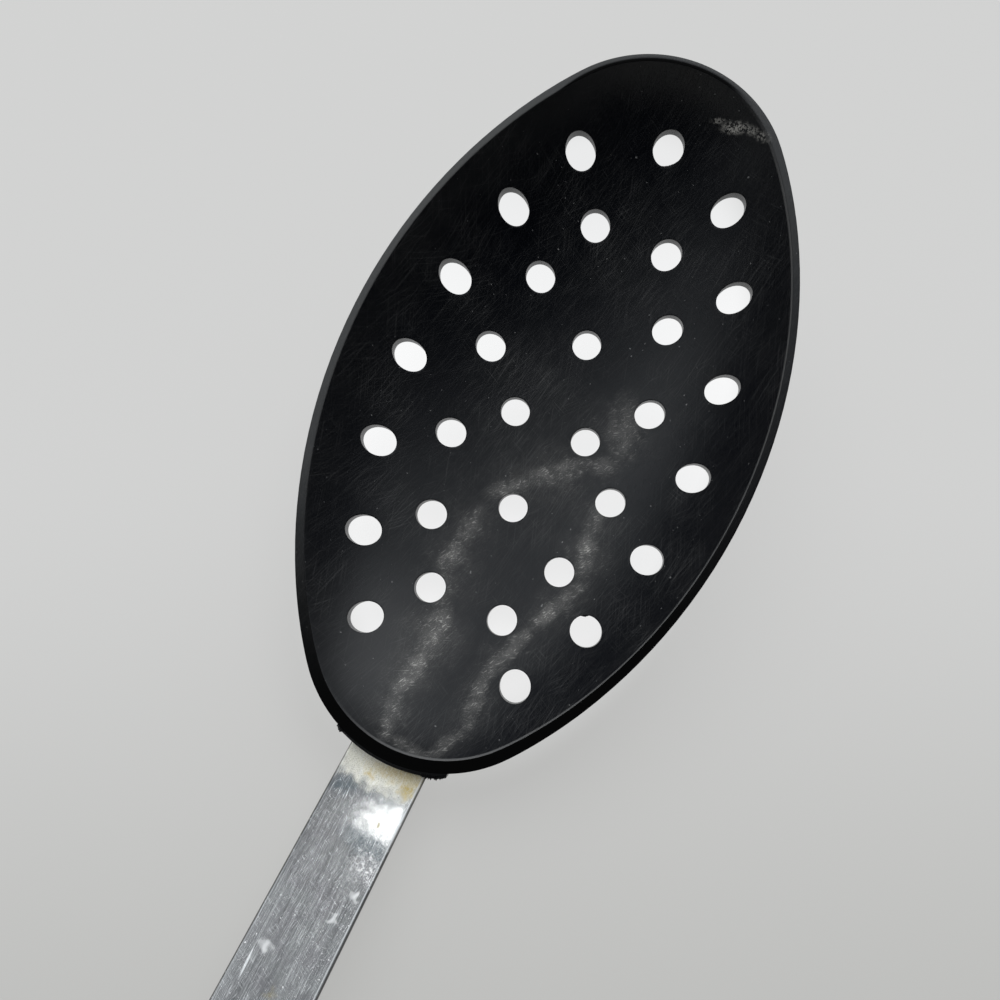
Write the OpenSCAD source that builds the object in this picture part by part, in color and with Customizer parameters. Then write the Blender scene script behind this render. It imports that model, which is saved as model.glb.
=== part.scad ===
// Perforated serving spoon: a black nylon bowl moulded around the end of a flat steel handle.
// Units are millimetres. It lies at rest on a flat surface: +Z is up, the tip of the bowl points
// to +X, and the origin is on the surface under the middle of the spoon's outline.

/* [Bowl] */
// Length of the hollow at the rim
hollow_length = 113.9; // [106:0.1:122]
// Depth of the hollow below the rim
bowl_depth = 22.7; // [21:0.1:25]
// Radius of the hollow measured across the bowl
cross_radius = 34.7; // [32:0.1:38]
// Radius of the round ends of the hollow, at the tip and at the heel
end_radius = 23.3; // [20:0.1:26]
// Wall thickness at the bottom of the bowl
bottom_wall = 2; // [1.6:0.1:3.5]
// Extra radius of the outer surface, which sets the thin wall at the rim
rim_growth = 0.6; // [0.5:0.05:1.5]
// How far the hollow sits towards the tip, which thins the rim there
hollow_shift = 0.4; // [0:0.05:0.8]

/* [Drain holes] */
// Diameter of each drain hole
hole_d = 5; // [3:0.1:6]
// Distance from the end of the hollow to the end hole of the outer ring
hole_end_margin = 9.2; // [8:0.05:12]
// Distance from the side of the hollow to the middle hole of the outer ring
hole_side_margin = 7.3; // [6.5:0.05:10]
// How far the pattern of holes sits towards the tip
hole_field_shift = 0.3; // [-1:0.1:1]

/* [Lug under the heel] */
// Width of the lug where the handle leaves it
lug_width = 19; // [16:0.1:22]
// Width of the lug at its rounded nose
lug_nose_width = 15; // [14:0.1:17]
// How far the curved end of the lug sticks out beyond the rim at the heel
lug_overhang = 1.3; // [0.5:0.1:3]
// Distance from the rim down to the top of the lug
lug_top_drop = 4; // [2:0.1:5]
// Distance from the rim down to the flat under the nose of the lug
lug_depth = 21; // [20:0.1:24]
// Distance from the middle of the bowl to the nose of the lug
lug_nose_reach = 37.5; // [36.5:0.1:40]
// Nylon left below the handle strip
lug_cover = 1.8; // [1.2:0.1:3]
// Rounding of the lug's lower long edges
lug_edge_radius = 1.8; // [1:0.1:3]
// Depth of the flat that the spoon stands on, worn into the lug's lowest edge
foot_depth = 0.5; // [0.2:0.05:0.8]

/* [Handle strip] */
// Width of the steel strip
strip_width = 12.7; // [10:0.1:13]
// Thickness of the steel strip
strip_thickness = 2.2; // [1.5:0.1:3]
// Rounding of the strip's long edges
strip_edge_radius = 0.6; // [0.3:0.05:0.7]
// Angle at which the strip rises from the plane of the rim
strip_slope = 31.6; // [27:0.1:33]
// Height of the rim above the strip's upper face, at the heel
strip_drop = 5.5; // [5:0.1:7]
// Straight length of the neck, from the heel to the arch
neck_length = 55; // [40:1:80]
// Radius of the arched grip, on the strip's upper face
arch_radius = 240; // [200:1:320]
// Angle through which the arched grip turns down
arch_angle = 37; // [30:0.5:42]
// Rounding of the corners at the end of the handle
end_corner_radius = 3.5; // [2:0.1:4.8]

/* [Tang inside the lug] */
// Length of the strip between the heel and its hidden end
tang_length = 19; // [16:0.1:20]
// Diameter of the two anchor holes that the nylon flows through
anchor_d = 4; // [3:0.1:5]
// Distance between the two anchor holes
anchor_pitch = 8; // [7:0.1:9]
// Distance from the hidden end to the nearer anchor hole
anchor_edge = 5; // [4:0.1:6]

/* [Hang hole] */
// Diameter of the hang hole
hang_d = 6.5; // [4:0.1:8]
// Distance from the end of the handle to the middle of the hang hole
hang_edge = 9.2; // [7:0.1:14]

/* [Hidden] */
$fn = 128;

nylon_black = [0.05, 0.05, 0.055];
steel_bright = [0.75, 0.75, 0.76];

// Places of the drain holes in one quarter of the bowl, as shares of the half length and half
// width of the field: outer ring, middle ring, then the four in the middle.
hole_place_shares = [
    [1, 0],
    [0.873, 0.513],
    [0.615, 0.774],
    [0.315, 0.942],
    [0, 1],
    [0.702, 0.258],
    [0.469, 0.466],
    [0.172, 0.587],
    [0.325, 0],
    [0, 0.263]
];

// The hollow turns about a line along the bowl, this far above the rim.
axis_height = cross_radius - bowl_depth;
// Half width of the hollow at the rim, and the size of the field of holes.
hollow_half_width = sqrt(pow(cross_radius, 2) - pow(axis_height, 2));
hole_field_length = hollow_length - 2 * hole_end_margin;
hole_field_width = 2 * (hollow_half_width - hole_side_margin);
// The outer surface turns about a line a little lower, so the wall is thickest at the bottom.
outer_drop = bottom_wall - rim_growth;
// The ends are parts of a ball whose centre lies on that line, this far from the middle.
ball_x = hollow_length / 2 - sqrt(pow(end_radius, 2) - pow(axis_height, 2));
// The long curve between the balls meets them without a corner, which gives its radius.
span_squares = pow(ball_x, 2) + pow(cross_radius, 2) - pow(end_radius, 2);
long_radius = span_squares / (2 * (cross_radius - end_radius));
// Centre of the long curve, measured from the turning line.
long_centre = cross_radius - long_radius;
// Half length of the rim, outside.
outer_end_radius = end_radius + rim_growth;
rim_half_length = ball_x + sqrt(pow(outer_end_radius, 2) - pow(axis_height - outer_drop, 2));

// Unit steps outward along the neck, and square to the strip at the neck and at the end.
neck_out = [-cos(strip_slope), sin(strip_slope)];
neck_up = [sin(strip_slope), cos(strip_slope)];
end_up = [sin(strip_slope - arch_angle), cos(strip_slope - arch_angle)];

// Side view of the strip, [x, z] in the bowl's frame, with the rim at zero height.
heel_point = [-rim_half_length, -strip_drop];
arch_centre = heel_point + neck_length * neck_out - arch_radius * neck_up;
handle_end_top = arch_centre + arch_radius * end_up;
handle_end_low = handle_end_top - strip_thickness * end_up;
// Angle along the arch from the handle's end to the hang hole.
hang_angle = hang_edge / arch_radius * 180 / PI;

// Foot of the lug: where its sloping underside meets the flat under its nose.
lug_under = strip_thickness + lug_cover;
lug_foot_run = (lug_depth - strip_drop - lug_under * cos(strip_slope)) / sin(strip_slope);
lug_foot = [
    -rim_half_length + lug_foot_run * cos(strip_slope) - lug_under * sin(strip_slope),
    -lug_depth
];

// Tilt of the spoon at rest: the handle's end and the lug, or the bowl if it is lower, touch.
foot_run = lug_foot[0] - handle_end_low[0];
foot_rise = handle_end_low[1] - lug_foot[1];
lug_tilt = atan2(foot_rise, foot_run) - asin(foot_depth / norm([foot_rise, foot_run]));
outer_long_radius = long_radius + rim_growth;
long_centre_height = axis_height - outer_drop - long_centre;
bowl_rise = long_centre_height - handle_end_low[1];
bowl_run = -handle_end_low[0];
bowl_tilt = asin(outer_long_radius / norm([bowl_rise, bowl_run])) - atan2(bowl_rise, bowl_run);
rest_tilt = max(lug_tilt, bowl_tilt);

// Place of the bowl's frame over the surface.
rest_lift = -(handle_end_low[0] * sin(rest_tilt) + handle_end_low[1] * cos(rest_tilt));
tip_x = rim_half_length * cos(rest_tilt);
end_x = handle_end_top[0] * cos(rest_tilt) - handle_end_top[1] * sin(rest_tilt);
rest_shift = -(tip_x + end_x) / 2;

// Sizes of the tool bodies used to cut and to trim.
room = 2 * (rim_half_length + cross_radius);
through = 4 * strip_thickness;

// Puts the bowl's frame, with its rim level, into the resting pose.
module at_rest() {
    translate([rest_shift, 0, rest_lift])
        rotate([0, -rest_tilt, 0])
            children();
}

// Puts a strip frame into the bowl's frame: its X runs inward along the neck's upper face.
module along_neck() {
    translate([-rim_half_length, 0, -strip_drop])
        rotate([0, strip_slope, 0])
            children();
}

// Puts a strip frame onto the arch, the given angle past its start.
module along_arch(angle) {
    along_neck()
        translate([-neck_length, 0, -arch_radius])
            rotate([0, -angle, 0])
                translate([0, 0, arch_radius])
                    children();
}

// Half section of the bowl along its length; growth moves it outward.
module bowl_section(growth) {
    meeting_x = ball_x * (long_radius + growth) / (long_radius - end_radius);
    intersection() {
        translate([long_centre, 0])
            circle(r = long_radius + growth, $fn = 256);
        translate([0, -meeting_x])
            square([room, 2 * meeting_x]);
    }
    for (side = [-1, 1])
        intersection() {
            translate([0, side * ball_x])
                circle(r = end_radius + growth);
            translate([0, -room])
                square([room, 2 * room]);
        }
}

// Solid of the bowl, turned about the line along its length.
module bowl_body(growth, drop) {
    translate([0, 0, axis_height - drop])
        rotate([0, 90, 0])
            rotate_extrude($fn = 256)
                bowl_section(growth);
}

// Everything below the surface that the spoon stands on, which leaves the lug a flat foot.
module below_floor() {
    translate([-room, -room, -room])
        cube([2 * room, 2 * room, room]);
}

// Everything above the rim, which is cut away.
module above_rim() {
    translate([-room, -room, 0])
        cube([2 * room, 2 * room, room]);
}

// All the drain holes, straight through the bowl.
module drain_holes() {
    places = [
        for (share = hole_place_shares, sx = [-1, 1], sy = [-1, 1])
            if ((sx > 0 || share[0] > 0 && share[0] < 1) && (sy > 0 || share[1] > 0))
                [sx * share[0] * hole_field_length / 2, sy * share[1] * hole_field_width / 2]
    ];
    for (place = places)
        translate([place[0] + hole_field_shift, place[1], -2 * bowl_depth])
            cylinder(d = hole_d, h = 2 * bowl_depth);
}

// Outline of the lug seen from above: its end follows the curve of the rim.
module lug_outline() {
    nose_x = -lug_nose_reach - lug_nose_width / 2;
    heel_x = -rim_half_length - lug_overhang;
    intersection() {
        union() {
            translate([nose_x, 0])
                circle(d = lug_nose_width);
            polygon([
                [nose_x, -lug_nose_width / 2],
                [nose_x, lug_nose_width / 2],
                [heel_x, lug_width / 2],
                [heel_x, -lug_width / 2]
            ]);
        }
        translate([-ball_x, 0])
            circle(r = -ball_x - heel_x);
    }
}

// Section of the lug across the handle, with its lower edges rounded.
module lug_section() {
    edge_y = lug_width / 2 - lug_edge_radius;
    translate([-edge_y, -lug_under])
        square([2 * edge_y, room]);
    translate([-lug_width / 2, lug_edge_radius - lug_under])
        square([lug_width, room]);
    for (side = [-1, 1])
        translate([side * edge_y, lug_edge_radius - lug_under])
            circle(r = lug_edge_radius);
}

// Lug moulded under the heel around the strip.
module lug() {
    intersection() {
        translate([0, 0, -lug_depth])
            linear_extrude(height = lug_depth - lug_top_drop)
                lug_outline();
        along_neck()
            translate([-room, 0, 0])
                rotate([90, 0, 90])
                    linear_extrude(height = 2 * room)
                        lug_section();
    }
}

// Section of the steel strip, with its upper face at zero height.
module strip_section() {
    edge_y = strip_width / 2 - strip_edge_radius;
    translate([-edge_y, -strip_thickness])
        square([2 * edge_y, strip_thickness]);
    translate([-strip_width / 2, strip_edge_radius - strip_thickness])
        square([strip_width, strip_thickness - 2 * strip_edge_radius]);
    for (side = [-1, 1], level = [strip_edge_radius - strip_thickness, -strip_edge_radius])
        translate([side * edge_y, level])
            circle(r = strip_edge_radius, $fn = 48);
}

// Hidden end and neck, with the two anchor holes.
module neck_and_tang() {
    difference() {
        along_neck()
            translate([-neck_length, 0, 0])
                rotate([90, 0, 90])
                    linear_extrude(height = neck_length + tang_length)
                        strip_section();
        for (step = [0, 1])
            along_neck()
                translate([tang_length - anchor_edge - step * anchor_pitch, 0, -through / 2])
                    cylinder(d = anchor_d, h = through);
    }
}

// Waste at one corner of the handle's end, outside its rounding.
module corner_waste() {
    difference() {
        square(2 * end_corner_radius);
        circle(r = end_corner_radius);
    }
}

// Arched grip with its rounded end and the hang hole.
module grip() {
    corner_y = strip_width / 2 - end_corner_radius;
    difference() {
        along_arch(0)
            translate([0, 0, -arch_radius])
                rotate([90, 0, 0])
                    rotate([0, 0, 90])
                        rotate_extrude(angle = arch_angle, $fn = 512)
                            translate([arch_radius, 0])
                                rotate([0, 0, -90])
                                    strip_section();
        for (side = [0, 1])
            along_arch(arch_angle)
                mirror([0, side, 0])
                    translate([end_corner_radius, corner_y, -through / 2])
                        mirror([1, 0, 0])
                            linear_extrude(height = through)
                                corner_waste();
        along_arch(arch_angle - hang_angle)
            translate([0, 0, -through / 2])
                cylinder(d = hang_d, h = through);
    }
}

// Nylon bowl with its lug; nylon also fills the strip's anchor holes.
module bowl_head() {
    color(nylon_black)
        difference() {
            at_rest()
                difference() {
                    union() {
                        bowl_body(rim_growth, outer_drop);
                        lug();
                    }
                    translate([hollow_shift, 0, 0])
                        bowl_body(0, 0);
                    above_rim();
                    drain_holes();
                    neck_and_tang();
                }
            below_floor();
        }
}

// Flat steel handle strip: hidden tang, straight neck and arched grip.
module handle_strip() {
    color(steel_bright)
        at_rest() {
            neck_and_tang();
            grip();
        }
}

bowl_head();
handle_strip();
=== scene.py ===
"""Perforated serving spoon with its finish and light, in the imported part's frame (metres)."""

import math
import random

import bmesh
import bpy
from mathutils import Matrix, Vector


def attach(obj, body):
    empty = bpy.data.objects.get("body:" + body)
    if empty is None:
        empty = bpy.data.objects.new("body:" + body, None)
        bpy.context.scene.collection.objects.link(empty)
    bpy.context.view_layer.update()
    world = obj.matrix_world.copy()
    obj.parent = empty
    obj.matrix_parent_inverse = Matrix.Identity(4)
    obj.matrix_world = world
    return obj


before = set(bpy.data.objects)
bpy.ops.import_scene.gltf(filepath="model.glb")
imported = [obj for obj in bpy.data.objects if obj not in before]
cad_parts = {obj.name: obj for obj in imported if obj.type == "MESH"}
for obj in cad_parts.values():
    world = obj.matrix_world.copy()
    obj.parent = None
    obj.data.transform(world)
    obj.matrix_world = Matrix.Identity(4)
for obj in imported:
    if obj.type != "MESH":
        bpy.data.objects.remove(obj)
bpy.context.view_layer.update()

# The bowl's own frame: its rim is level there, with the middle of the bowl at the origin.
REST_TILT = math.radians(19.704)
BOWL_PLACE = (0.10163, 0, 0.033039)
# The strip's own frame within it, in millimetres: X runs inward along the neck's upper face.
HEEL_POINT = (-58.399, 0, -5.5)
NECK_SLOPE = math.radians(31.6)
MM = 0.001
# Curved end of the lug, seen from above in the bowl's frame, and its top below the rim.
LUG_END_CENTRE = -36.98
LUG_END_RADIUS = 22.72
LUG_TOP_DROP = 4.0
DRAIN_D = 5.0
# Round end of the bowl at its tip: centre, and where the worn outer half of the rim begins.
TIP_CENTRE = 37.38
TIP_LIP_RADIUS = 20.5
# How far coordinates are bent to make marks ragged, which also moves the marks by half of it.
MARK_BEND = 1.6

BOWL_TO_WORLD = (
    Matrix.Translation(BOWL_PLACE) @ Matrix.Rotation(-REST_TILT, 4, "Y") @ Matrix.Scale(MM, 4)
)


class Nodes:
    """Short calls for building one material's node tree."""

    def __init__(self, name):
        self.material = bpy.data.materials.new(name)
        self.material.use_nodes = True
        self.tree = self.material.node_tree
        self.tree.nodes.clear()
        self.out = self.tree.nodes.new("ShaderNodeOutputMaterial")

    def add(self, kind, **values):
        node = self.tree.nodes.new(kind)
        for key, value in values.items():
            setattr(node, key, value)
        return node

    def link(self, source, target):
        self.tree.links.new(source, target)

    def put(self, target, value):
        if hasattr(value, "is_linked"):
            self.link(value, target)
        else:
            target.default_value = value

    def math(self, operation, *values, clamp=False):
        node = self.add("ShaderNodeMath", operation=operation, use_clamp=clamp)
        for socket, value in zip(node.inputs, values):
            self.put(socket, value)
        return node.outputs[0]

    def steps(self, value, low, high, to_low=0.0, to_high=1.0):
        """Smooth step from one value to another."""
        node = self.add("ShaderNodeMapRange", interpolation_type="SMOOTHSTEP", clamp=True)
        for socket, item in zip(node.inputs, (value, low, high, to_low, to_high)):
            self.put(socket, item)
        return node.outputs[0]

    def mix(self, factor, first, second):
        node = self.add("ShaderNodeMix", data_type="RGBA", clamp_factor=True)
        self.put(node.inputs["Factor"], factor)
        self.put(node.inputs[6], first)
        self.put(node.inputs[7], second)
        return node.outputs[2]

    def joined(self, operation, values):
        """All the values joined one after another by the same operation."""
        result = values[0]
        for value in values[1:]:
            result = self.math(operation, result, value)
        return result

    def total(self, *values):
        return self.joined("ADD", values)

    def product(self, *values):
        return self.joined("MULTIPLY", values)

    def largest(self, *values):
        return self.joined("MAXIMUM", values)

    def frame(self, vector, place, turn, unit=1.0):
        """Coordinates in a frame with the given place, turn and unit."""
        node = self.add("ShaderNodeMapping", vector_type="TEXTURE")
        self.link(vector, node.inputs["Vector"])
        node.inputs["Location"].default_value = place
        node.inputs["Rotation"].default_value = turn
        node.inputs["Scale"].default_value = (unit, unit, unit)
        return node.outputs[0]

    def noise(self, vector, scale, detail=2.0, roughness=0.5, flat=False, seed=0.0):
        """Noise whose features measure about one over the scale."""
        moved = self.add("ShaderNodeVectorMath", operation="ADD")
        self.link(vector, moved.inputs[0])
        moved.inputs[1].default_value = (seed, 1.7 * seed, 0)
        node = self.add("ShaderNodeTexNoise", noise_dimensions="2D" if flat else "3D")
        self.link(moved.outputs[0], node.inputs["Vector"])
        node.inputs["Scale"].default_value = scale
        node.inputs["Detail"].default_value = detail
        node.inputs["Roughness"].default_value = roughness
        return node.outputs[0]

    def bent(self, vector, amount, scale):
        """The same coordinates, gently bent, so that long marks aren't ruler straight."""
        noise = self.add("ShaderNodeTexNoise", noise_dimensions="2D")
        self.link(vector, noise.inputs["Vector"])
        noise.inputs["Scale"].default_value = scale
        noise.inputs["Detail"].default_value = 0.0
        node = self.add("ShaderNodeVectorMath", operation="MULTIPLY_ADD")
        self.link(noise.outputs["Color"], node.inputs[0])
        node.inputs[1].default_value = (amount, amount, 0)
        self.link(vector, node.inputs[2])
        return node.outputs[0]

    def strokes(self, vector, angle, length, width, share, seed, soft=0.04):
        """Thin strokes at one angle; share is the part of the surface that they cover."""
        turned = self.add("ShaderNodeMapping", vector_type="POINT")
        self.link(vector, turned.inputs["Vector"])
        turned.inputs["Rotation"].default_value = (0, 0, math.radians(-angle))
        drawn = self.add("ShaderNodeVectorMath", operation="MULTIPLY")
        self.link(turned.outputs[0], drawn.inputs[0])
        drawn.inputs[1].default_value = (1 / length, 1 / width, 0)
        noise = self.noise(drawn.outputs[0], 1.0, detail=0.0, flat=True, seed=seed)
        # The noise spreads by about 0.3 to either side of its middle, 0.5.
        edge = 0.5 + 0.30 * (1 - 2 * share)
        return self.steps(noise, edge, edge + soft)

    def all_strokes(self, vector, table):
        return self.total(*(self.strokes(vector, *row) for row in table))

    def patch(self, vector, x, y, half_length, half_width, angle=0.0, soft=0.5):
        """Soft-edged oval patch on the XY plane of the given coordinates."""
        node = self.add("ShaderNodeMapping", vector_type="TEXTURE")
        self.link(vector, node.inputs["Vector"])
        node.inputs["Location"].default_value = (x, y, 0)
        node.inputs["Rotation"].default_value = (0, 0, math.radians(angle))
        node.inputs["Scale"].default_value = (half_length, half_width, 1)
        flat = self.add("ShaderNodeVectorMath", operation="MULTIPLY")
        self.link(node.outputs[0], flat.inputs[0])
        flat.inputs[1].default_value = (1, 1, 0)
        far = self.add("ShaderNodeVectorMath", operation="LENGTH")
        self.link(flat.outputs[0], far.inputs[0])
        return self.steps(far.outputs["Value"], 1 - soft, 1 + soft, 1.0, 0.0)

    def marks(self, vector, table, soft, wider=1.0):
        """All the patches of a table, for coordinates bent by MARK_BEND."""
        moved = 0.5 * MARK_BEND
        result = 0.0
        for x, y, half_length, half_width, angle, strength in table:
            size = (half_length, wider * half_width)
            mark = self.patch(vector, x + moved, y + moved, *size, angle, soft)
            result = self.largest(self.product(mark, strength), result)
        return result

    def along(self, vector, way):
        node = self.add("ShaderNodeVectorMath", operation="DOT_PRODUCT")
        self.link(vector, node.inputs[0])
        node.inputs[1].default_value = way
        return node.outputs["Value"]


def grey(level, tint=(1.0, 1.0, 1.0)):
    return (level * tint[0], level * tint[1], level * tint[2], 1)


# Strokes on the nylon: angle from the bowl's length in degrees, length and width in millimetres,
# share of the surface, seed, and the softness of their edges where it isn't the usual one.
FINE_MARKS = (
    (-13, 6.0, 0.13, 0.30, 3.1, 0.07),
    (-24, 4.5, 0.12, 0.25, 8.3, 0.07),
    (6, 4.5, 0.12, 0.25, 14.9, 0.07),
    (-34, 2.8, 0.11, 0.22, 21.7, 0.07),
    (-60, 2.2, 0.11, 0.14, 26.3, 0.07),
    (64, 2.0, 0.11, 0.10, 29.5, 0.07),
)
LONG_MARKS = (
    (-9, 15.0, 0.12, 0.12, 31.1),
    (-19, 11.0, 0.11, 0.12, 37.9),
    (17, 10.0, 0.11, 0.09, 45.3),
    (-42, 7.0, 0.11, 0.05, 52.7),
    (64, 6.0, 0.11, 0.02, 60.1),
)
HATCHING = (
    (-66, 1.2, 0.20, 0.08, 77.0, 0.1),
    (-28, 1.4, 0.18, 0.10, 83.0, 0.1),
)
# Abraded marks in the bowl with their highlight painted on whitish, seen from above in the bowl's
# frame, in millimetres: place x and y, half length, half width, angle and strength of each.
ABRASION_GLINTS = (
    (-21.5, 5.4, 3.8, 1.5, 173, 0.50),
    (-27.0, 5.9, 2.4, 1.5, 178, 0.80),
    (-32.0, 4.9, 3.4, 1.7, 198, 0.35),
    (-39.6, 3.0, 3.6, 1.8, 182, 1.00),
    (-46.1, 3.3, 3.6, 1.3, 173, 1.00),
    (-52.4, 2.6, 3.4, 1.1, 200, 0.75),
    (-55.6, -2.0, 3.6, 0.8, 90, 0.40),
    (-52.6, -7.2, 3.3, 0.9, 149, 0.40),
    (-45.8, -8.4, 4.2, 1.2, 6, 0.55),
    (-36.8, -9.6, 5.4, 1.3, -18, 0.60),
    (-27.2, -13.4, 5.2, 1.2, -25, 0.80),
    (-17.5, -14.5, 3.4, 1.4, 9, 0.85),
    (-11.3, -13.8, 3.0, 1.4, 2, 0.50),
    (-12.2, 2.0, 3.8, 1.6, 136, 0.50),
    (-6.8, -4.5, 5.0, 1.7, 126, 0.60),
    (4.2, -12.0, 5.0, 2.4, 21, 0.42),
    (-2.5, -11.2, 3.0, 1.5, 117, 0.40),
)
# Where the tip has scraped pans, in the same terms.
SCUFFS = (
    (52.4, -8.6, 1.8, 0.65, 92, 1.0),
    (52.2, -11.2, 1.0, 0.45, 80, 0.8),
    (51.5, -13.2, 1.3, 0.5, 69, 0.7),
    (52.9, -5.6, 1.0, 0.3, 95, 0.6),
)
# Where the left wall is hazy: place, half sizes, angle and softness.
HAZE = (-44.0, 11.5, 10.0, 5.5, 20, 0.9)
# Radius at which the nylon's edges catch the light, and the depth of its marks.
NYLON_EDGE = 0.40 * MM
NYLON_RELIEF = 0.012 * MM


def nylon_material():
    n = Nodes("black_nylon")
    place = n.add("ShaderNodeTexCoord").outputs["Object"]
    bowl = n.frame(place, BOWL_PLACE, (0, -REST_TILT, 0), MM)
    bent = n.bent(bowl, MARK_BEND, 0.04)

    # Fine marks of stirring and washing: most run along the bowl, some across it.
    fine = n.all_strokes(bent, FINE_MARKS)
    long_marks = n.all_strokes(bent, LONG_MARKS)
    worn = n.steps(n.noise(bowl, 0.06, 3.0, 0.6, seed=4.0), 0.36, 0.66)
    grain = n.noise(bowl, 3.2, 3.0, 0.65, seed=9.0)
    specks = n.steps(n.noise(bowl, 2.2, 0.0, seed=70.0), 0.85, 0.87)
    parts = n.add("ShaderNodeSeparateXYZ")
    n.link(bowl, parts.inputs[0])
    forward, across, height = parts.outputs

    # The marks lie in the hollow, whose surface faces up.
    upward = n.add("ShaderNodeNewGeometry").outputs["Normal"]
    inside = n.steps(n.along(upward, (-math.sin(REST_TILT), 0, math.cos(REST_TILT))), 0.0, 0.1)
    # The abraded marks with their painted highlight, and the scuffs, break up into grains and
    # short scratches.
    grains = n.steps(n.noise(bowl, 4.4, 3.0, 0.8, seed=17.0), 0.56, 0.68)
    hatch = n.largest(*(n.strokes(bowl, *row) for row in HATCHING))
    broken = n.math("MULTIPLY_ADD", n.largest(grains, hatch), 0.78, 0.22)
    clumps = n.noise(bowl, 0.42, 2.0, seed=57.0)
    broken = n.product(broken, n.steps(clumps, 0.40, 0.62, 0.6, 1.3))
    # Painted highlight: the abraded marks and a fainter glow around them, painted whitish.
    glint_halo = n.product(n.marks(bent, ABRASION_GLINTS, 0.9, wider=2.4), 0.22)
    rubbed_glint = n.product(n.largest(n.marks(bent, ABRASION_GLINTS, 0.8), glint_halo), broken, inside)
    flecks = n.steps(n.noise(bowl, 2.0, 4.0, 0.8, seed=27.0), 0.46, 0.56)
    scuff = n.product(n.marks(bent, SCUFFS, 0.65), flecks, inside)

    # The rim is scraped grey where it works against the pan, most of all on its left.
    rim = n.steps(height, -0.10, -0.02)
    inner_lip = n.product(
        n.patch(bowl, TIP_CENTRE, 0, TIP_LIP_RADIUS, TIP_LIP_RADIUS, 0, 0.012),
        n.steps(across, -12.0, -5.0),
    )
    rim_wear = n.product(
        rim,
        n.steps(n.along(bowl, (0.012, 0.018, 0)), -0.5, 1.0),
        n.math("SUBTRACT", 1.0, inner_lip),
        n.steps(forward, 35.0, 56.0, 1.0, 0.65),
        n.math("MULTIPLY_ADD", grain, 0.5, 0.75),
    )
    # On the other side the inner edge is painted bright, a painted highlight of its rounded edge.
    arris_highlight = n.product(
        n.steps(height, -0.55, -0.35),
        n.math("SUBTRACT", 1.0, rim),
        n.steps(n.along(bowl, (-0.005, -0.028, 0)), -0.1, 0.4),
    )

    dark = n.mix(worn, grey(0.0012, (0.6, 0.95, 2.2)), grey(0.0024, (0.8, 1.0, 1.5)))
    marked = n.math("MULTIPLY_ADD", worn, 0.75, 0.25)
    marked = n.product(marked, n.steps(forward, 52.0, 28.0, 0.3, 1.0))
    colour = n.mix(n.product(fine, marked, 0.030), dark, grey(0.13))
    colour = n.mix(n.product(long_marks, marked, 0.10), colour, grey(0.18))
    colour = n.mix(n.product(specks, 0.30), colour, grey(0.40))
    # Painted highlight of the abraded marks.
    colour = n.mix(n.product(rubbed_glint, 0.75), colour, grey(0.46, (1.02, 1.0, 0.95)))
    colour = n.mix(n.product(scuff, 0.85), colour, grey(0.36, (1.03, 1.0, 0.93)))
    colour = n.mix(rim_wear, colour, grey(0.041, (0.98, 1.0, 1.0)))
    # Painted highlight along the inner edge of the rim.
    colour = n.mix(n.product(arris_highlight, 0.9), colour, grey(0.10))

    # Nearer the handle the left wall is hazy.
    haze = n.product(n.patch(bent, *HAZE), inside)
    colour = n.mix(n.product(haze, 0.06), colour, grey(0.34))

    rough = n.total(
        n.math("MULTIPLY_ADD", grain, 0.10, 0.30),
        n.product(worn, 0.05),
        n.product(rubbed_glint, 0.25),
    )
    relief = n.total(
        n.product(fine, -0.35),
        n.product(long_marks, -1.0),
        n.product(grain, 0.8),
    )
    edge = n.add("ShaderNodeBevel", samples=4)
    edge.inputs["Radius"].default_value = NYLON_EDGE
    bump = n.add("ShaderNodeBump")
    bump.inputs["Strength"].default_value = 0.5
    bump.inputs["Distance"].default_value = NYLON_RELIEF
    n.link(relief, bump.inputs["Height"])
    n.link(edge.outputs[0], bump.inputs["Normal"])

    shader = n.add("ShaderNodeBsdfPrincipled")
    n.link(colour, shader.inputs["Base Color"])
    n.link(rough, shader.inputs["Roughness"])
    n.link(bump.outputs[0], shader.inputs["Normal"])
    # The unworn part of the rim keeps the dull skin of the moulding.
    skin = n.add("ShaderNodeBsdfPrincipled")
    skin.inputs["Base Color"].default_value = grey(0.001)
    skin.inputs["Roughness"].default_value = 0.6
    skin.inputs["Specular IOR Level"].default_value = 0.05
    blend = n.add("ShaderNodeMixShader")
    unworn = n.math("MULTIPLY_ADD", rim_wear, -2.0, 1.0, clamp=True)
    matt = n.largest(inner_lip, n.steps(forward, 20.0, -28.0, 0.35, 1.0))
    n.link(n.product(rim, n.product(unworn, matt)), blend.inputs[0])
    n.link(shader.outputs[0], blend.inputs[1])
    n.link(skin.outputs[0], blend.inputs[2])
    n.link(blend.outputs[0], n.out.inputs[0])
    return n.material


# Strokes on the steel, in the same terms but from the strip's length.
BRIGHT_LINES = (
    (0, 18.0, 0.09, 0.34, 2.3, 0.10),
    (1, 30.0, 0.08, 0.30, 12.3, 0.08),
    (-1.5, 12.0, 0.07, 0.30, 22.9, 0.10),
)
DULL_LINES = (
    (0, 26.0, 0.10, 0.30, 62.3, 0.10),
    (1.5, 16.0, 0.09, 0.26, 72.3, 0.10),
    (-1, 40.0, 0.14, 0.25, 82.9, 0.15),
)
SCRATCHES = (
    (3, 5.0, 0.10, 0.09, 33.1),
    (-14, 2.2, 0.09, 0.07, 41.7),
    (62, 1.8, 0.08, 0.06, 49.3),
)
BAND = (0, 30.0, 1.3, 0.5, 97.0, 0.3)
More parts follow.
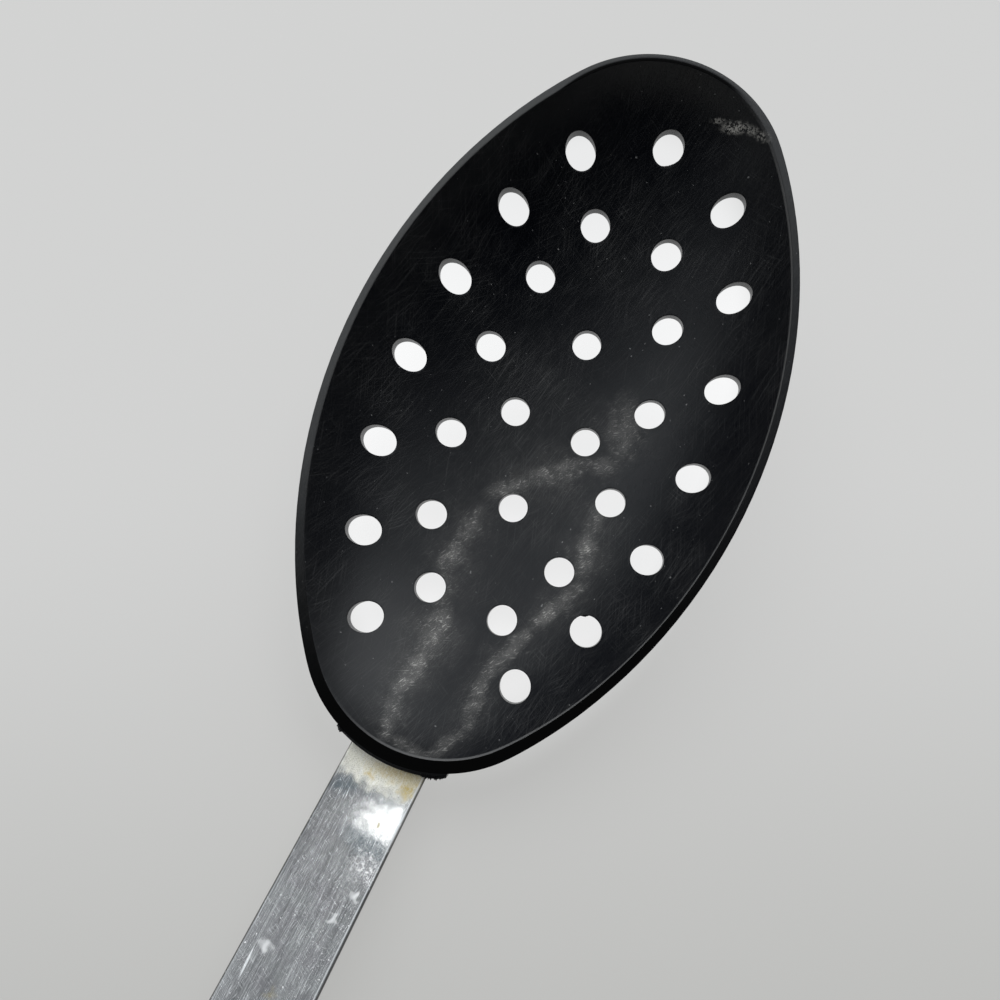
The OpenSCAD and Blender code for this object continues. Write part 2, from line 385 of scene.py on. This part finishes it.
# Spots on the steel's upper face, in millimetres: distance out from the bowl, place across, half
# length, half width, angle, softness and strength.
BLUE_TINTS = (
    (7.2, 4.2, 1.1, 2.6, 14, 0.8, 1.0),
    (13.7, -3.2, 1.5, 3.8, -8, 0.8, 1.0),
    (6.7, -1.6, 0.6, 4.2, 6, 0.8, 0.55),
)
STAINS = (
    (2.1, -2.7, 1.3, 4.4, 9.5, 0.7, 0.8),
    (3.8, -4.4, 1.2, 1.2, 0, 0.7, 1.0),
    (4.2, 1.5, 0.55, 0.6, 0, 0.8, 0.9),
    (10.4, -3.2, 0.3, 0.3, 0, 0.7, 0.8),
    (36.4, -0.6, 0.6, 0.6, 0, 0.8, 0.3),
)
WHITE_SPOTS = (
    (31.4, 3.2, 0.8, 0.7, 30, 0.95, 0.8),
    (20.8, -4.7, 0.5, 0.5, 0, 0.95, 0.9),
    (24.6, -3.3, 0.4, 0.5, 0, 0.95, 0.7),
)
# Deep scratch: place along and across the strip, half sizes, angle and softness.
GOUGE = (-34.2, 4.3, 1.9, 0.16, 3, 0.4)
STAIN_COLOUR = (0.60, 0.46, 0.14, 1)
STEEL_RELIEF = 0.006 * MM


def steel_material():
    n = Nodes("polished_steel")
    place = n.add("ShaderNodeTexCoord").outputs["Object"]
    bowl = n.frame(place, BOWL_PLACE, (0, -REST_TILT, 0), MM)
    strip = n.frame(bowl, HEEL_POINT, (0, NECK_SLOPE, 0))
    ragged = n.bent(strip, MARK_BEND, 0.9)
    wavy = n.bent(strip, 0.3, 0.05)

    def spot(out, y, half_length, half_width, angle=0.0, soft=0.5):
        """Patch on the upper face, placed by its distance out from the bowl."""
        moved = 0.5 * MARK_BEND
        return n.patch(ragged, moved - out, y + moved, half_length, half_width, angle, soft)

    def spots(table):
        return n.largest(*(n.product(spot(*row[:-1]), row[-1]) for row in table))

    # Fine lines left by grinding along the strip, with a few across from use.
    brushed = n.all_strokes(wavy, BRIGHT_LINES)
    dull_lines = n.all_strokes(wavy, DULL_LINES)
    scratches = n.all_strokes(wavy, SCRATCHES)
    cloud = n.noise(strip, 0.22, 3.0, 0.6, seed=5.0)
    mottle = n.noise(strip, 2.6, 4.0, 0.75, seed=15.0)
    grit = n.noise(strip, 6.0, 2.0, 0.7, seed=19.0)
    pits = n.steps(n.noise(strip, 2.6, 0.0, seed=25.0), 0.80, 0.83)
    # Dents get painted highlights, small bright flecks on the half away from the grinding.
    dent_glints = n.steps(n.noise(strip, 3.4, 2.0, 0.7, seed=47.0), 0.64, 0.70)
    dent_glints = n.product(dent_glints, spot(22.0, -3.5, 14.0, 3.2))

    heel = spot(0.6, 0, 5.0, 9.0, 0, 0.4)
    # Painted highlight: a near-white patch for the glare on the strip out from the heel.
    painted_shine = spot(9.7, -4.7, 3.1, 4.2, 25, 0.9)
    painted_shine = n.product(painted_shine, n.steps(mottle, 0.30, 0.55, 0.75, 1.0))
    # Dull white flecks, closest where the strip has been knocked.
    flecks = n.steps(n.noise(strip, 1.7, 4.0, 0.8, seed=91.0), 0.50, 0.58)
    flecks = n.math("MULTIPLY_ADD", flecks, 0.8, 0.2)
    flecks = n.product(flecks, spot(16.6, -4.4, 1.9, 2.1, 20, 0.95))
    blue = n.product(spots(BLUE_TINTS), n.steps(mottle, 0.38, 0.60, 0.45, 1.0))
    stain = n.product(spots(STAINS), n.steps(mottle, 0.36, 0.60, 0.45, 1.0))
    # The white marks include the painted highlights of the dents.
    white = n.largest(spots(WHITE_SPOTS), n.product(n.largest(pits, dent_glints), 0.9), flecks)
    gouge = n.patch(strip, *GOUGE)

    # Cut sides are duller than the polished faces, darkened as painted shade; the edges shine.
    normal = n.add("ShaderNodeNewGeometry").outputs["Normal"]
    to_left = n.along(normal, (0, 1, 0))
    sideways = n.math("ABSOLUTE", to_left)
    cut_side_shaded = n.steps(sideways, 0.55, 0.85)
    # Painted highlight on the edges between the faces and the cut sides.
    arris_highlight = n.product(
        n.steps(sideways, 0.10, 0.30),
        n.steps(sideways, 0.65, 0.45),
        n.steps(to_left, -0.1, 0.1, 0.8, 0.15),
    )

    ground, paler = grey(0.22, (1.03, 0.99, 1.03)), grey(0.27, (0.98, 1.0, 0.99))
    colour = n.mix(n.steps(cloud, 0.35, 0.65), ground, paler)
    colour = n.mix(n.steps(grit, 0.42, 0.64, 0.0, 0.42), colour, grey(0.55, (0.98, 1.0, 1.0)))
    colour = n.mix(n.product(brushed, 0.20), colour, grey(0.70))
    colour = n.mix(n.product(dull_lines, 0.30), colour, grey(0.07, (1.0, 0.98, 0.98)))
    bands = n.strokes(wavy, *BAND)
    colour = n.mix(n.product(bands, 0.32), colour, grey(0.08, (0.96, 1.0, 1.06)))
    left_edge = n.steps(n.along(strip, (0, 1, 0)), 4.9, 5.5)
    colour = n.mix(n.product(left_edge, 0.13), colour, grey(0.75))
    # Nearer the bowl the ground face is darker.
    outward = n.along(strip, (-1, 0, 0))
    colour = n.mix(n.steps(outward, 26.0, 14.0, 0.0, 0.38), colour, grey(0.09))
    # The grip lies beyond the photo's edge. Its finish is a guess, plainer and more matt.
    matt_grip = n.steps(outward, 46.0, 85.0)
    colour = n.mix(n.product(matt_grip, 0.6), colour, grey(0.52))
    # Painted highlight.
    colour = n.mix(painted_shine, colour, grey(0.98, (1.0, 1.0, 0.98)))
    # Whitish residue beside the bowl, its colour raised as painted light against the rim's shade.
    grainy = n.product(n.steps(grit, 0.34, 0.54), n.steps(mottle, 0.30, 0.40))
    scum_painted_bright = n.mix(grainy, grey(0.58, (1.0, 0.985, 0.78)), grey(1.0, (1.0, 0.99, 0.89)))
    colour = n.mix(n.product(heel, 0.95), colour, scum_painted_bright)
    colour = n.mix(n.product(blue, 0.9), colour, grey(0.09, (0.78, 1.06, 1.22)))
    colour = n.mix(n.product(stain, 0.9), colour, STAIN_COLOUR)
    colour = n.mix(n.product(white, 0.8), colour, grey(0.92))
    colour = n.mix(n.product(scratches, 0.45), colour, grey(0.90))
    colour = n.mix(gouge, colour, grey(0.98))
    # Painted highlight on the edges.
    colour = n.mix(arris_highlight, colour, grey(0.92))
    # Painted shade on the cut sides.
    colour = n.mix(n.product(cut_side_shaded, 0.88), colour, grey(0.07))

    rough = n.total(
        n.math("MULTIPLY_ADD", cloud, 0.10, 0.17),
        n.product(heel, 0.16),
        n.product(brushed, 0.03),
        n.product(stain, 0.20),
        n.product(white, 0.20),
        n.product(cut_side_shaded, 0.12),
        n.product(matt_grip, 0.25),
    )
    relief = n.total(
        n.product(brushed, 0.4),
        n.product(scratches, -0.8),
        n.product(mottle, 0.35),
    )
    bump = n.add("ShaderNodeBump")
    bump.inputs["Strength"].default_value = 0.25
    bump.inputs["Distance"].default_value = STEEL_RELIEF
    n.link(relief, bump.inputs["Height"])

    shader = n.add("ShaderNodeBsdfPrincipled")
    # Dried scum dulls the metal beside the bowl and at the white spots.
    scummed = n.largest(heel, n.product(white, 0.6))
    dull = n.largest(n.product(scummed, 0.92), n.product(matt_grip, 0.5))
    n.link(n.math("SUBTRACT", 1.0, dull), shader.inputs["Metallic"])
    n.link(colour, shader.inputs["Base Color"])
    n.link(rough, shader.inputs["Roughness"])
    n.link(bump.outputs[0], shader.inputs["Normal"])
    n.link(shader.outputs[0], n.out.inputs[0])
    return n.material


# The floor darkens towards the handle, along the X axis of a frame with this place and turn.
SHADE_PLACE = (0.098, 0.0035, 0)
SHADE_TURN = math.radians(26)
FLOOR_DARKER = grey(0.482, (1.0, 1.0, 0.97))
FLOOR_PALE = grey(0.628, (1.0, 1.0, 0.99))
# It is palest under the bowl, where it shows through the drain holes, to make up for the shadow:
# middle, half sizes, angle and softness of that patch.
PALE_PATCH = (0.126, 0.004, 0.072, 0.036, 4, 0.14)
IN_SHADOW = grey(0.98)
IN_LIGHT = grey(0.80)
# Share of the floor's colour that shows whatever light falls on it; the rest takes the shadow.
FLOOR_SHOWN = 0.80


def floor_material():
    n = Nodes("pale_floor")
    place = n.add("ShaderNodeTexCoord").outputs["Object"]
    ahead = n.along(n.frame(place, SHADE_PLACE, (0, 0, SHADE_TURN)), (1, 0, 0))
    colour = n.mix(n.steps(ahead, -0.12, 0.01), FLOOR_DARKER, FLOOR_PALE)
    palest = n.mix(n.steps(ahead, 0.02, 0.08), IN_SHADOW, IN_LIGHT)
    colour = n.mix(n.patch(place, *PALE_PATCH), colour, palest)

    rays = n.add("ShaderNodeLightPath")
    seen = n.math("ADD", rays.outputs["Is Camera Ray"], rays.outputs["Is Glossy Ray"])
    seen = n.math("ADD", seen, rays.outputs["Is Transmission Ray"], clamp=True)
    matte = n.add("ShaderNodeBsdfDiffuse")
    n.link(colour, matte.inputs["Color"])
    lit = n.add("ShaderNodeEmission")
    n.link(colour, lit.inputs["Color"])
    blend = n.add("ShaderNodeMixShader")
    n.link(n.product(seen, FLOOR_SHOWN), blend.inputs[0])
    n.link(matte.outputs[0], blend.inputs[1])
    n.link(lit.outputs[0], blend.inputs[2])
    n.link(blend.outputs[0], n.out.inputs[0])
    return n.material


# Soft lights of the surroundings: direction, where each begins and is full, and its level.
WORLD_LIGHTS = (
    ((0.713, 0.414, 0.566), -0.12, 0.74, 0.62),
    ((0.915, -0.340, 0.217), 0.25, 0.95, 0.48),
    ((-0.03, 0.78, 0.62), 0.86, 0.99, 0.50),
)
WORLD_TINT = (0.94, 0.99, 1.03, 1)
BACKDROP = grey(0.66)


def studio_world():
    """Soft light that falls off towards the handle, with a pale backdrop for the camera."""
    world = bpy.data.worlds.new("studio")
    world.use_nodes = True
    tree = world.node_tree
    tree.nodes.clear()
    out = tree.nodes.new("ShaderNodeOutputWorld")
    way = tree.nodes.new("ShaderNodeTexCoord").outputs["Generated"]
    strength = None
    for towards, low, high, level in WORLD_LIGHTS:
        dot = tree.nodes.new("ShaderNodeVectorMath")
        dot.operation = "DOT_PRODUCT"
        tree.links.new(way, dot.inputs[0])
        dot.inputs[1].default_value = towards
        ramp = tree.nodes.new("ShaderNodeMapRange")
        ramp.interpolation_type = "SMOOTHSTEP"
        tree.links.new(dot.outputs["Value"], ramp.inputs[0])
        for socket, value in zip(ramp.inputs[1:], (low, high, 0.0, level)):
            socket.default_value = value
        if strength is None:
            strength = ramp.outputs[0]
            continue
        both = tree.nodes.new("ShaderNodeMath")
        tree.links.new(strength, both.inputs[0])
        tree.links.new(ramp.outputs[0], both.inputs[1])
        strength = both.outputs[0]
    soft = tree.nodes.new("ShaderNodeBackground")
    soft.inputs[0].default_value = WORLD_TINT
    tree.links.new(strength, soft.inputs[1])
    plain = tree.nodes.new("ShaderNodeBackground")
    plain.inputs[0].default_value = BACKDROP
    rays = tree.nodes.new("ShaderNodeLightPath")
    blend = tree.nodes.new("ShaderNodeMixShader")
    tree.links.new(rays.outputs["Is Camera Ray"], blend.inputs[0])
    tree.links.new(soft.outputs[0], blend.inputs[1])
    tree.links.new(plain.outputs[0], blend.inputs[2])
    tree.links.new(blend.outputs[0], out.inputs[0])
    bpy.context.scene.world = world


def area_lamp(name, place, target, size, power, mirrored=True):
    """Round soft lamp turned to its target, seen in reflections or not."""
    data = bpy.data.lights.new(name, "AREA")
    data.shape = "DISK"
    data.size = size
    data.energy = power
    lamp = bpy.data.objects.new(name, data)
    lamp.visible_glossy = mirrored
    lamp.location = place
    lamp.rotation_euler = (Vector(target) - Vector(place)).to_track_quat("-Z", "Y").to_euler()
    bpy.context.scene.collection.objects.link(lamp)


def ribbon(name, rows, material):
    """Closed band through rows of four corners in the bowl's frame, as a piece of the bowl."""
    mesh = bmesh.new()
    rings = [[mesh.verts.new(BOWL_TO_WORLD @ Vector(corner)) for corner in row] for row in rows]
    for first, second in zip(rings, rings[1:]):
        for i in range(4):
            j = (i + 1) % 4
            mesh.faces.new((first[i], first[j], second[j], second[i]))
    mesh.faces.new(rings[0][::-1])
    mesh.faces.new(rings[-1])
    bmesh.ops.recalc_face_normals(mesh, faces=mesh.faces)
    data = bpy.data.meshes.new(name)
    mesh.to_mesh(data)
    mesh.free()
    data.materials.append(material)
    piece = bpy.data.objects.new(name, data)
    bpy.context.scene.collection.objects.link(piece)
    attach(piece, "root")


# Depth to which the flash is sunk into the nylon, at the lug and at a drain hole, in millimetres.
LUG_ROOT = 0.3
DRAIN_ROOT = 0.12


def flash_rim(name, span, reach, count, seed):
    """Ragged fin along the upper edge of the lug's curved end, between two angles."""
    draw = random.Random(seed)
    rows = []
    for i in range(count + 1):
        angle = math.radians(span[0] + (span[1] - span[0]) * i / count)
        ends = min(1.0, 4 * i / count, 4 * (count - i) / count)
        out = LUG_END_RADIUS + ends * reach * (0.25 + 0.75 * draw.random() ** 1.5)
        top = -LUG_TOP_DROP + 0.10 + 0.15 * draw.random()
        root = LUG_END_RADIUS - LUG_ROOT
        rows.append([
            (LUG_END_CENTRE + r * math.cos(angle), r * math.sin(angle), z)
            for r, z in ((root, top), (out, top - 0.1), (out, top - 0.35), (root, top - 0.5))
        ])
    ribbon(name, rows, nylon)


def flash_hole(name, centre, span, reach, seed, count=14):
    """Thin sliver over part of a drain hole's edge, on the surface of the hollow."""
    draw = random.Random(seed)
    down = BOWL_TO_WORLD.to_3x3() @ Vector((0, 0, -1))
    to_bowl = BOWL_TO_WORLD.inverted()
    edge = 0.5 * DRAIN_D + DRAIN_ROOT
    rows = []
    for i in range(count + 1):
        angle = math.radians(span[0] + (span[1] - span[0]) * i / count)
        along, across = math.cos(angle), math.sin(angle)
        start = BOWL_TO_WORLD @ Vector((centre[0] + edge * along, centre[1] + edge * across, 5))
        level = (to_bowl @ bowl.ray_cast(start, down)[1]).z
        inner = 0.5 * DRAIN_D - reach * math.sin(math.pi * i / count) * (0.6 + 0.4 * draw.random())
        rows.append([
            (centre[0] + r * along, centre[1] + r * across, level + z)
            for r, z in ((edge, 0.04), (inner, 0.0), (inner, -0.12), (edge, -0.2))
        ])
    ribbon(name, rows, nylon)


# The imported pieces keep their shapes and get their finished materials.
nylon = nylon_material()
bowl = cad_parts["bowl_head"]
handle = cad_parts["handle_strip"]
for piece, material in ((bowl, nylon), (handle, steel_material())):
    piece.data.materials.clear()
    piece.data.materials.append(material)

# Flash left by the mould, where the lug meets the rim and at the edge of two drain holes.
flash_rim("lug_flash", (194, 203.5), 0.5, 44, 5)
flash_rim("lug_flash_end", (156.8, 159.2), 0.45, 9, 6)
flash_hole("drain_flash_tip", (48.05, 0), (175, 245), 0.32, 7)
flash_hole("drain_flash_heel", (-29.1, -19.55), (12, 40), 0.28, 8)

# Floor.
bpy.ops.mesh.primitive_plane_add(size=6, location=(0, 0, 0))
floor = bpy.context.object
floor.name = "floor"
floor.data.materials.append(floor_material())

# Light: a small lamp that glints on the steel beside the bowl, and a large soft one for the rest.
studio_world()
heel = BOWL_TO_WORLD @ Vector(HEEL_POINT)
GLINT_FROM = heel + 0.9 * Vector((0.47, 0.07, 0.88))
FILL_FROM = (0.3, 0.2, 1.2)
area_lamp("overhead", GLINT_FROM, heel, size=0.05, power=0.07)
area_lamp("fill", FILL_FROM, (0, 0, 0), size=1.4, power=13.0, mirrored=False)

# Camera at the photograph's viewing angle, fitted to the drain holes and the rim.
CAMERA_PLACE = (0.02647, -0.01540, 0.16448)
CAMERA_TURN = (23.922, -4.327, -65.591)
FOCAL_LENGTH = 36
camera_data = bpy.data.cameras.new("camera")
camera_data.sensor_width = 36
camera_data.lens = FOCAL_LENGTH
camera_data.clip_start = 0.01
camera = bpy.data.objects.new("camera", camera_data)
camera.location = CAMERA_PLACE
camera.rotation_euler = [math.radians(angle) for angle in CAMERA_TURN]
bpy.context.scene.collection.objects.link(camera)
bpy.context.scene.camera = camera
bpy.context.scene.view_settings.view_transform = "Standard"
